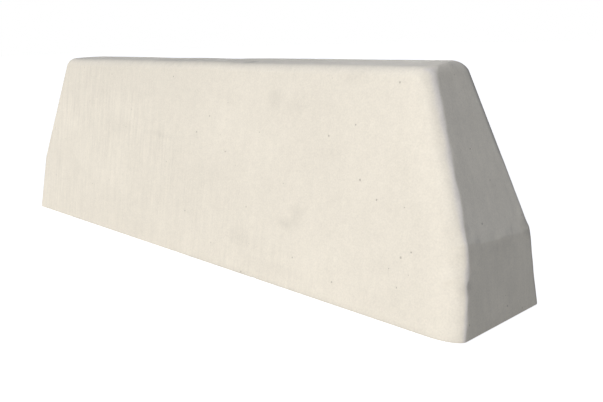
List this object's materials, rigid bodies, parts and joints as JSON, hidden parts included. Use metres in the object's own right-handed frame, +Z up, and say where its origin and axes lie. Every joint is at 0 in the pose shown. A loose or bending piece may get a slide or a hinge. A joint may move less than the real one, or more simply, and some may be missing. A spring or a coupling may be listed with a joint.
{
  "type": "concrete kerb stone",
  "caption": "Solid cast concrete kerb stone with battered long faces, ends that slope above an upright plinth, rounded edges and a flat base.",
  "frame": {"origin": "middle of the flat base, at the level of the ground it rests on", "axes": "+X along the kerb's length, +Y across its width, +Z up"},
  "size_m": [1, 0.18, 0.29],
  "materials": {
    "concrete": "smooth off-white cast concrete, matt, with faint form streaks, soft mottling and pinholes"
  },
  "bodies": {
    "root": {"kerb_stone": "concrete"}
  },
  "joints": []
}
